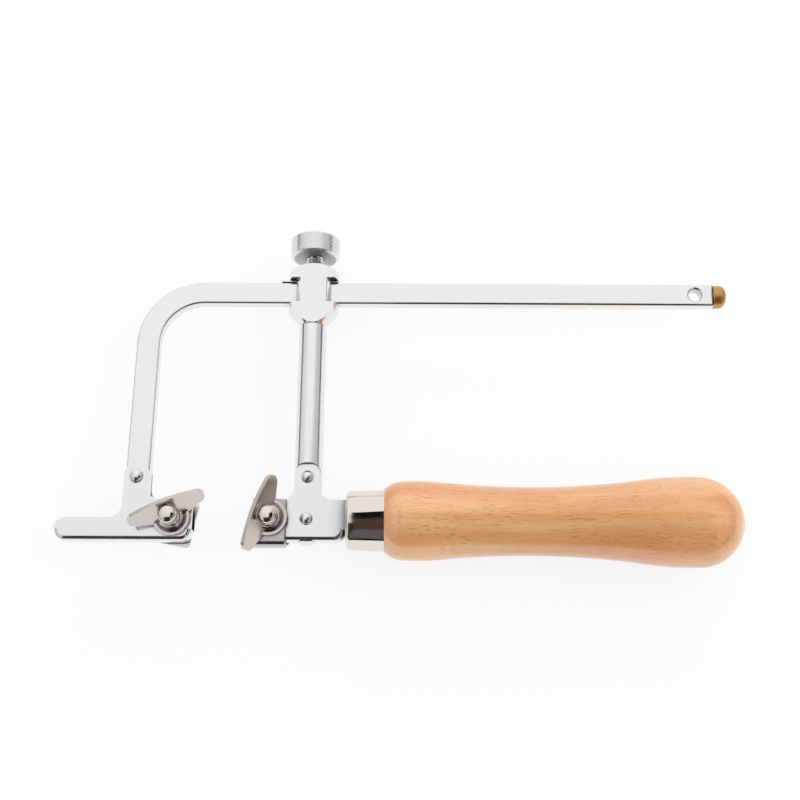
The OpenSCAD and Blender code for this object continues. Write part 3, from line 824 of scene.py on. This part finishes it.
@dataclass
class ClampKnob:
    """Knurled knob on the clamp screw above the head.

    Attributes:
        teeth: diamonds round the knob.
        rows: half diamonds along the knob, an even number.
        groove: depth of the knurl.
        slope_share: part of each half diamond that its sloped sides take.
        bevel_width: width of the lower bevel.
        bevel_height: height of the lower bevel.
        top_round: rounding of the upper edge.
        bore_radius: radius of the screw's hole.
        bore_depth: depth of the screw's hole.
        round_steps: rings across the upper rounding.
        sharp_degrees: edges above this angle stay sharp.
        slope_faces: largest area of a sloped face, in squares of the groove's depth.
        slope_lean: how far a sloped face looks outward, least and most, to take the grooves' painted shade.
        under_lean: how far a face of the underside looks down, at least, to take the underside's painted
            shade.
    """

    teeth: int = 50
    rows: int = 8
    groove: float = 0.17 * MM
    slope_share: float = 0.2
    bevel_width: float = 1.1 * MM
    bevel_height: float = 0.5 * MM
    top_round: float = 0.8 * MM
    bore_radius: float = 3.08 * MM
    bore_depth: float = 5.1 * MM
    round_steps: int = 5
    sharp_degrees: float = 18.0
    slope_faces: float = 8.0
    slope_lean: tuple[float, float] = (0.2, 0.8)
    under_lean: float = 0.95

    def build(self, bench: Bench) -> None:
        """Build the knob and its screw.

        Args:
            bench: solids and finishes.
        """
        low, high = (Vector(corner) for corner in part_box("knurled_knob"))
        radius = (high.x - low.x) / 2.0
        length = high.y - low.y
        place = Matrix.Translation(((low.x + high.x) / 2.0, low.y, (low.z + high.z) / 2.0)) @ Axis.Y.turn()
        inset = self.slope_share / 2.0
        parts = (0.0, inset, 1.0 - inset)
        mesh = TurnedMesh([(tooth + part) / self.teeth for tooth in range(self.teeth) for part in parts])
        mesh.tip(self.bore_depth)
        mesh.plain(self.bore_radius, self.bore_depth)
        mesh.plain(self.bore_radius, 0.0)
        mesh.plain(radius - self.bevel_width, 0.0)
        top = length - self.top_round
        self._knurl(mesh, radius, self.bevel_height, top)
        for i in range(1, self.round_steps + 1):
            turn = math.pi / 2 * i / self.round_steps
            ring_r = radius - self.top_round * (1.0 - math.cos(turn))
            mesh.plain(ring_r, top + self.top_round * math.sin(turn))
        mesh.tip(length)
        piece = mesh.finish("knob_knurl", place, self.sharp_degrees)
        bench.place(piece, "knurled_knob", "clamp_knob", Slot.ZINC, "satin_zinc")
        for finish in ("underside_shade_zinc", "groove_shade_zinc"):
            piece.data.materials.append(bench.finishes[finish])
        slope_area = self.slope_faces * self.groove**2
        least, most = self.slope_lean
        for face in piece.data.polygons:
            outward = face.center - place.translation
            outward.y = 0.0
            # Faces looking down take underside_shade_zinc, darker as painted shade under the knob and rougher
            # as a turned face.
            if face.normal.y < -self.under_lean:
                face.material_index = 1
            # Small sloped faces take groove_shade_zinc, darker as painted shade in the knurl's grooves.
            elif least < face.normal.dot(outward.normalized()) < most and face.area < slope_area:
                face.material_index = 2
        ThreadedRod(
            "clamp_screw",
            "clamp_screw",
            Axis.Y,
            pitch=1.0 * MM,
            depth=0.42 * MM,
            thread=(2.0 * MM, 12.0 * MM),
            radius=3.0 * MM,
            finish="silver_nickel",
        ).build(bench)

    def _knurl(self, mesh: TurnedMesh, radius: float, bottom: float, top: float) -> None:
        """Band of flat-topped diamonds between crossing grooves.

        Args:
            mesh: knob grown up to the bevel below the band.
            radius: radius of the diamonds' tops.
            bottom: height of the band's lower end.
            top: height of its upper end.
        """
        floor_r = radius - self.groove
        found: dict[tuple[float, float], int] = {}

        def corner(column: float, row: float) -> int:
            """Index of a point: groove crossings lie deep, the tops' corners high."""
            key = (round(float(column % (2 * self.teeth)), 3), round(float(row), 3))
            if key not in found:
                deep = key[0].is_integer() and key[1].is_integer() and (key[0] + key[1]) % 2 == 0
                height = bottom + (top - bottom) * key[1] / self.rows
                found[key] = mesh.point(floor_r if deep else radius, key[0] / (2 * self.teeth), height)
            return found[key]

        for row, joined in ((0, True), (self.rows, False)):
            height = bottom if row == 0 else top
            mesh.ring(lambda k: radius if k % 3 else floor_r, height, joined)
            for k in range(mesh.columns):
                found[(round(mesh.shares[k] * 2 * self.teeth, 3), float(row))] = mesh.last + k
        keep = 1.0 - self.slope_share
        for row in range(self.rows + 1):
            for column in range((row + 1) % 2, 2 * self.teeth, 2):
                sides = [(-1, 0), (0, -1), (1, 0), (0, 1)]
                if row == 0:
                    sides = [(1, 0), (0, 1), (-1, 0)]
                elif row == self.rows:
                    sides = [(-1, 0), (0, -1), (1, 0)]
                outer = [corner(column + x, row + y) for x, y in sides]
                inner = [corner(column + keep * x, row + keep * y) for x, y in sides]
                mesh.faces.append(tuple(inner))
                for i in range(len(sides) if len(sides) == 4 else 2):
                    n = (i + 1) % len(sides)
                    mesh.faces.append((outer[i], outer[n], inner[n], inner[i]))


@dataclass
class BladeClamp:
    """Wing nut, stud and jaw that hold one end of the blade.

    Attributes:
        end: front or rear.
        thread: start and end of the stud's thread from its lower end.
        nut_edge: edges of the stamped nut.
        jaw_edge: edges of the jaw.
    """

    end: str
    thread: tuple[float, float]
    nut_edge: EdgeBreak = field(default_factory=lambda: EdgeBreak(0.3 * MM))
    jaw_edge: EdgeBreak = field(default_factory=lambda: EdgeBreak(0.3 * MM))

    def build(self, bench: Bench) -> None:
        """Dress the nut and jaw and build the stud.

        Args:
            bench: solids and finishes.
        """
        bench.dress(f"{self.end}_wing_nut", "warm_nickel", self.nut_edge)
        bench.dress(f"{self.end}_jaw", "dull_plate", self.jaw_edge)
        ThreadedRod(
            f"{self.end}_clamp_stud",
            f"{self.end}_jaw_set",
            Axis.Z,
            pitch=1.0 * MM,
            depth=0.5 * MM,
            thread=self.thread,
            radius=3.0 * MM,
            finish="mirror_nickel",
            low_dome=(3.08 * MM, 0.8 * MM),
            end_reach=2.7 * MM,
            end_height=1.6 * MM,
        ).build(bench)


@dataclass
class HandleSet:
    """Turned beech handle with its ferrule and tang.

    Attributes:
        ferrule_edge: edges of the ferrule and tang.
        wood_edge: edges of the handle.
    """

    ferrule_edge: EdgeBreak = field(default_factory=lambda: EdgeBreak(0.2 * MM))
    wood_edge: EdgeBreak = field(default_factory=lambda: EdgeBreak(0.3 * MM))

    def dress(self, bench: Bench) -> None:
        """Dress the solids of the handle."""
        bench.dress("handle_tang", "bright_plate", self.ferrule_edge)
        bench.dress("ferrule", "mirror_nickel", self.ferrule_edge)
        bench.dress("handle", "lacquered_beech", self.wood_edge)


@dataclass(frozen=True)
class Softbox:
    """Rectangular lamp aimed at the saw, which shiny surfaces do not show.

    Attributes:
        name: lamp name.
        place: lamp position.
        size: width and height.
        power: power in watts.
    """

    name: str
    place: Triple
    size: tuple[float, float]
    power: float

    def build(self) -> None:
        """Make the lamp."""
        data = bpy.data.lights.new(self.name, "AREA")
        data.shape = "RECTANGLE"
        data.size, data.size_y = self.size
        data.energy = self.power
        lamp = bpy.data.objects.new(self.name, data)
        lamp.location = self.place
        lamp.rotation_euler = (-Vector(self.place)).to_track_quat("-Z", "Y").to_euler()
        lamp.visible_glossy = False
        bpy.context.scene.collection.objects.link(lamp)


def stage_mesh(name: str, points: list[Triple], faces: list[tuple[int, ...]]) -> bpy.types.Object:
    """Object of the studio that is not part of the saw.

    Args:
        name: object name.
        points: its corners.
        faces: its faces.

    Returns:
        The linked object.
    """
    mesh = bpy.data.meshes.new(name)
    mesh.from_pydata(points, [], faces)
    sheet = bpy.data.objects.new(name, mesh)
    bpy.context.scene.collection.objects.link(sheet)
    return sheet


@dataclass(frozen=True)
class Flag:
    """Dark card that only shiny surfaces show: black at its first edge, then two tones.

    Attributes:
        name: card name.
        span: its ends along X.
        profile: its section as pairs of Y and Z.
        high_tone: colour of its level part.
        low_tone: colour of its upright part.
        black: colour of its first edge.
        black_ends: Y where the black starts to fade and where it is gone.
        fold: depth below the top where the upright part's tone starts and is full.
    """

    name: str
    span: tuple[float, float]
    profile: tuple[tuple[float, float], ...]
    high_tone: Colour
    low_tone: Colour
    black: Colour = (0.004, 0.004, 0.004)
    black_ends: tuple[float, float] = (-0.042, -0.05)
    fold: tuple[float, float] = (0.001, 0.006)

    def build(self) -> None:
        """Make the card."""
        points = [(x, y, z) for y, z in self.profile for x in self.span]
        faces = [(2 * i, 2 * i + 1, 2 * i + 3, 2 * i + 2) for i in range(len(self.profile) - 1)]
        card = stage_mesh(self.name, points, faces)
        graph, material = new_material(f"{self.name}_dark")
        place = graph.add("ShaderNodeTexCoord").outputs["Object"]
        parts = graph.add("ShaderNodeSeparateXYZ", {0: place}).outputs
        top = self.profile[0][1]
        start, full = (top - depth for depth in self.fold)
        level = graph.ramp(parts["Y"], *self.black_ends)
        tone = graph.mix(level, rgba(self.black), rgba(self.high_tone))
        tone = graph.mix(graph.ramp(parts["Z"], start, full), tone, rgba(self.low_tone))
        glow = graph.add("ShaderNodeEmission", {"Color": tone, "Strength": 1.0})
        graph.add("ShaderNodeOutputMaterial", {"Surface": glow.outputs[0]})
        card.data.materials.append(material)
        card.visible_camera = False
        card.visible_diffuse = False
        card.visible_shadow = False


SOFTBOXES = (
    Softbox("key_strip", (-0.1, 0.95, 0.42), (1.5, 0.4), 4.0),
    Softbox("side_softbox", (0.7, 0.1, 0.6), (0.6, 0.6), 2.0),
)

FLAGS = (
    Flag(
        "ferrule_flag",
        span=(-0.0215, -0.0088),
        profile=((-0.0248, 0.066), (-0.085, 0.066), (-0.085, 0.026)),
        high_tone=(0.075, 0.045, 0.04),
        low_tone=(0.12, 0.115, 0.11),
    ),
    Flag(
        "handle_flag",
        span=(0.0, 0.19),
        profile=((0.012, 0.225), (-0.2, 0.225)),
        high_tone=(0.05, 0.045, 0.04),
        low_tone=(0.05, 0.045, 0.04),
    ),
)


@dataclass
class Studio:
    """Pale floor, soft light and the camera at the photograph's angle.

    Attributes:
        camera_place: camera position.
        pitch: tilt of the camera from straight down, in degrees.
        yaw: turn of the camera about its own upright, in degrees.
        roll: roll of the camera, in degrees.
        lens: focal length, in millimetres.
        sensor: width of the sensor, in millimetres.
        floor_size: side of the square floor.
        floor_tone: brightness of the matt floor.
        floor_glow: share of its own light in what the camera sees of the floor.
        fill: strength of the surroundings on matt surfaces.
        band_dark: mirrored brightness of the horizon.
        behind_share: mirrored brightness towards -Y.
        right_share: mirrored brightness towards +X.
        left_share: mirrored brightness towards -X.
        patch_dark: mirrored brightness of the dark patch in front.
    """

    camera_place: Triple = (-1.753 * MM, -100.961 * MM, 338.421 * MM)
    pitch: float = 17.0723
    yaw: float = -0.1647
    roll: float = 0.2861
    lens: float = 45.0
    sensor: float = 36.0
    floor_size: float = 6.0
    floor_tone: float = 0.9
    floor_glow: float = 0.82
    fill: float = 0.84
    band_dark: float = 0.04
    behind_share: float = 0.85
    right_share: float = 0.62
    left_share: float = 0.8
    patch_dark: float = 0.03

    def build(self) -> None:
        """Make the camera, the floor, the world and the lamps."""
        self._camera()
        self._floor()
        self._world()
        for stand in (*SOFTBOXES, *FLAGS):
            stand.build()

    def _camera(self) -> None:
        """Camera with the fitted place and lens."""
        data = bpy.data.cameras.new("photo_camera")
        data.lens = self.lens
        data.sensor_width = self.sensor
        camera = bpy.data.objects.new("photo_camera", data)
        turn = Matrix.Identity(4)
        for angle, axis in ((self.pitch, "X"), (self.yaw, "Y"), (self.roll, "Z")):
            turn = turn @ Matrix.Rotation(math.radians(angle), 4, axis)
        camera.matrix_world = Matrix.Translation(self.camera_place) @ turn
        bpy.context.scene.collection.objects.link(camera)
        bpy.context.scene.camera = camera

    def _floor(self) -> None:
        """White floor that keeps a faint shadow."""
        half = self.floor_size / 2.0
        corners = [(-half, -half, 0.0), (half, -half, 0.0), (half, half, 0.0), (-half, half, 0.0)]
        floor = stage_mesh("floor", corners, [(0, 1, 2, 3)])
        graph, material = new_material("floor_white")
        paths = graph.add("ShaderNodeLightPath").outputs
        seen = graph.math("MAXIMUM", paths["Is Camera Ray"], paths["Is Glossy Ray"])
        seen = graph.math("MAXIMUM", seen, paths["Is Transmission Ray"])
        matt = graph.add("ShaderNodeBsdfDiffuse", {"Color": rgba((self.floor_tone,) * 3)})
        glow = graph.add("ShaderNodeEmission", {"Color": rgba((1.0, 1.0, 1.0)), "Strength": 1.0})
        share = graph.math("MULTIPLY", seen, self.floor_glow)
        mixed = graph.add("ShaderNodeMixShader", {0: share, 1: matt.outputs[0], 2: glow.outputs[0]})
        graph.add("ShaderNodeOutputMaterial", {"Surface": mixed.outputs[0]})
        floor.data.materials.append(material)

    def _world(self) -> None:
        """White surroundings with a dark band near the horizon for the metal to mirror."""
        world = bpy.data.worlds.new("studio")
        world.use_nodes = True
        bpy.context.scene.world = world
        graph = Graph(world.node_tree)
        paths = graph.add("ShaderNodeLightPath").outputs
        direction = graph.add("ShaderNodeTexCoord").outputs["Generated"]
        parts = graph.add("ShaderNodeSeparateXYZ", {0: direction}).outputs
        aside = graph.math("ABSOLUTE", parts["X"])
        front = graph.math("MULTIPLY", graph.ramp(parts["Y"], -0.2, -0.42), graph.ramp(aside, 0.6, 0.3))
        horizon = graph.ramp(parts["Y"], 0.45, 0.8, self.band_dark, 1.0)
        band = graph.ramp(parts["Z"], 0.08, 0.3, horizon, 1.0)
        for share in (
            graph.ramp(parts["Y"], -0.02, 0.3, self.behind_share, 1.0),
            graph.ramp(parts["X"], 0.3, 0.75, 1.0, self.right_share),
            graph.ramp(parts["X"], -0.35, -0.8, 1.0, self.left_share),
            graph.ramp(front, 0.0, 1.0, 1.0, self.patch_dark),
        ):
            band = graph.math("MULTIPLY", band, share)
        mirrored = graph.add("ShaderNodeBackground", {"Color": band, "Strength": 1.0})
        seen = graph.add("ShaderNodeBackground", {"Color": rgba((1.0, 1.0, 1.0)), "Strength": 1.0})
        fill = graph.add("ShaderNodeBackground", {"Color": rgba((1.0, 1.0, 1.0)), "Strength": self.fill})
        shiny = graph.math("MAXIMUM", paths["Is Glossy Ray"], paths["Is Transmission Ray"])
        first = graph.add("ShaderNodeMixShader", {0: shiny, 1: fill.outputs[0], 2: mirrored.outputs[0]})
        both = graph.add(
            "ShaderNodeMixShader", {0: paths["Is Camera Ray"], 1: first.outputs[0], 2: seen.outputs[0]}
        )
        graph.add("ShaderNodeOutputWorld", {"Surface": both.outputs[0]})


METALS: tuple[MetalFinish, ...] = (
    # painted_shade_floor sets how dark each finish's painted shade in gaps gets: almost black for
    # bright_plate, none at 1.0.
    MetalFinish("bright_plate", (0.83, 0.837, 0.845), (0.9, 0.905, 0.91), 0.13, 0.2, painted_shade_floor=0.03),
    MetalFinish("bar_plate", (0.83, 0.837, 0.845), (0.9, 0.905, 0.91), 0.13, 0.2),
    MetalFinish("dull_plate", (0.94, 0.943, 0.946), (0.94, 0.943, 0.946), 0.24, 0.34),
    MetalFinish("warm_nickel", (0.64, 0.585, 0.545), (0.8, 0.76, 0.72), 0.16, 0.24, painted_shade_floor=0.75),
    MetalFinish(
        "mirror_nickel", (0.80, 0.745, 0.69), (0.88, 0.84, 0.8), 0.05, 0.09, ripple_height=0.002 * MM
    ),
    MetalFinish("silver_nickel", (0.85, 0.845, 0.835), (0.92, 0.91, 0.9), 0.1, 0.16),
    MetalFinish("polished_brass", (0.62, 0.355, 0.13), (0.74, 0.47, 0.2), 0.3, 0.4),
    MetalFinish("satin_zinc", (0.93, 0.933, 0.937), (0.96, 0.96, 0.96), 0.2, 0.28, painted_shade_floor=1.0),
    # groove_shade_zinc: zinc darkened as painted shade on the sloped sides of the knurl's grooves.
    MetalFinish("groove_shade_zinc", (0.8, 0.805, 0.81), (0.8, 0.8, 0.8), 0.3, 0.4, painted_shade_floor=1.0),
    # underside_shade_zinc: zinc darkened as painted shade under the knob, rougher as a turned face.
    MetalFinish("underside_shade_zinc", (0.55, 0.555, 0.56), (0.8, 0.8, 0.8), 0.36, 0.46, painted_shade_floor=0.8),
    # nickel_grey_and_shade: the keeper's nickel, darkened partly as painted shade of the wing nut.
    MetalFinish("nickel_grey_and_shade", (0.50, 0.472, 0.455), (0.7, 0.66, 0.63), 0.18, 0.26),
)


def main() -> None:
    """Load the frame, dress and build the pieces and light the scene."""
    logging.basicConfig(level=logging.INFO, format="%(message)s")
    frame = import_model()
    groups = EffectGroups()
    finishes = {finish.name: finish.build(groups) for finish in (*METALS, BeechFinish())}
    bench = Bench(frame["nodes"], finishes)
    Studio().build()
    mounts = {mount["name"]: mount for mount in frame["record"]["mounts"]}
    FrameArm().build(bench, mounts["hang_hole"])
    SlidingPost().dress(bench)
    ClampKnob().build(bench)
    BladeClamp("front", thread=(8.0 * MM, 14.6 * MM)).build(bench)
    BladeClamp("rear", thread=(8.0 * MM, 15.8 * MM)).build(bench)
    HandleSet().dress(bench)
    bpy.context.scene.view_settings.view_transform = "Standard"


if __name__ == "__main__":
    main()
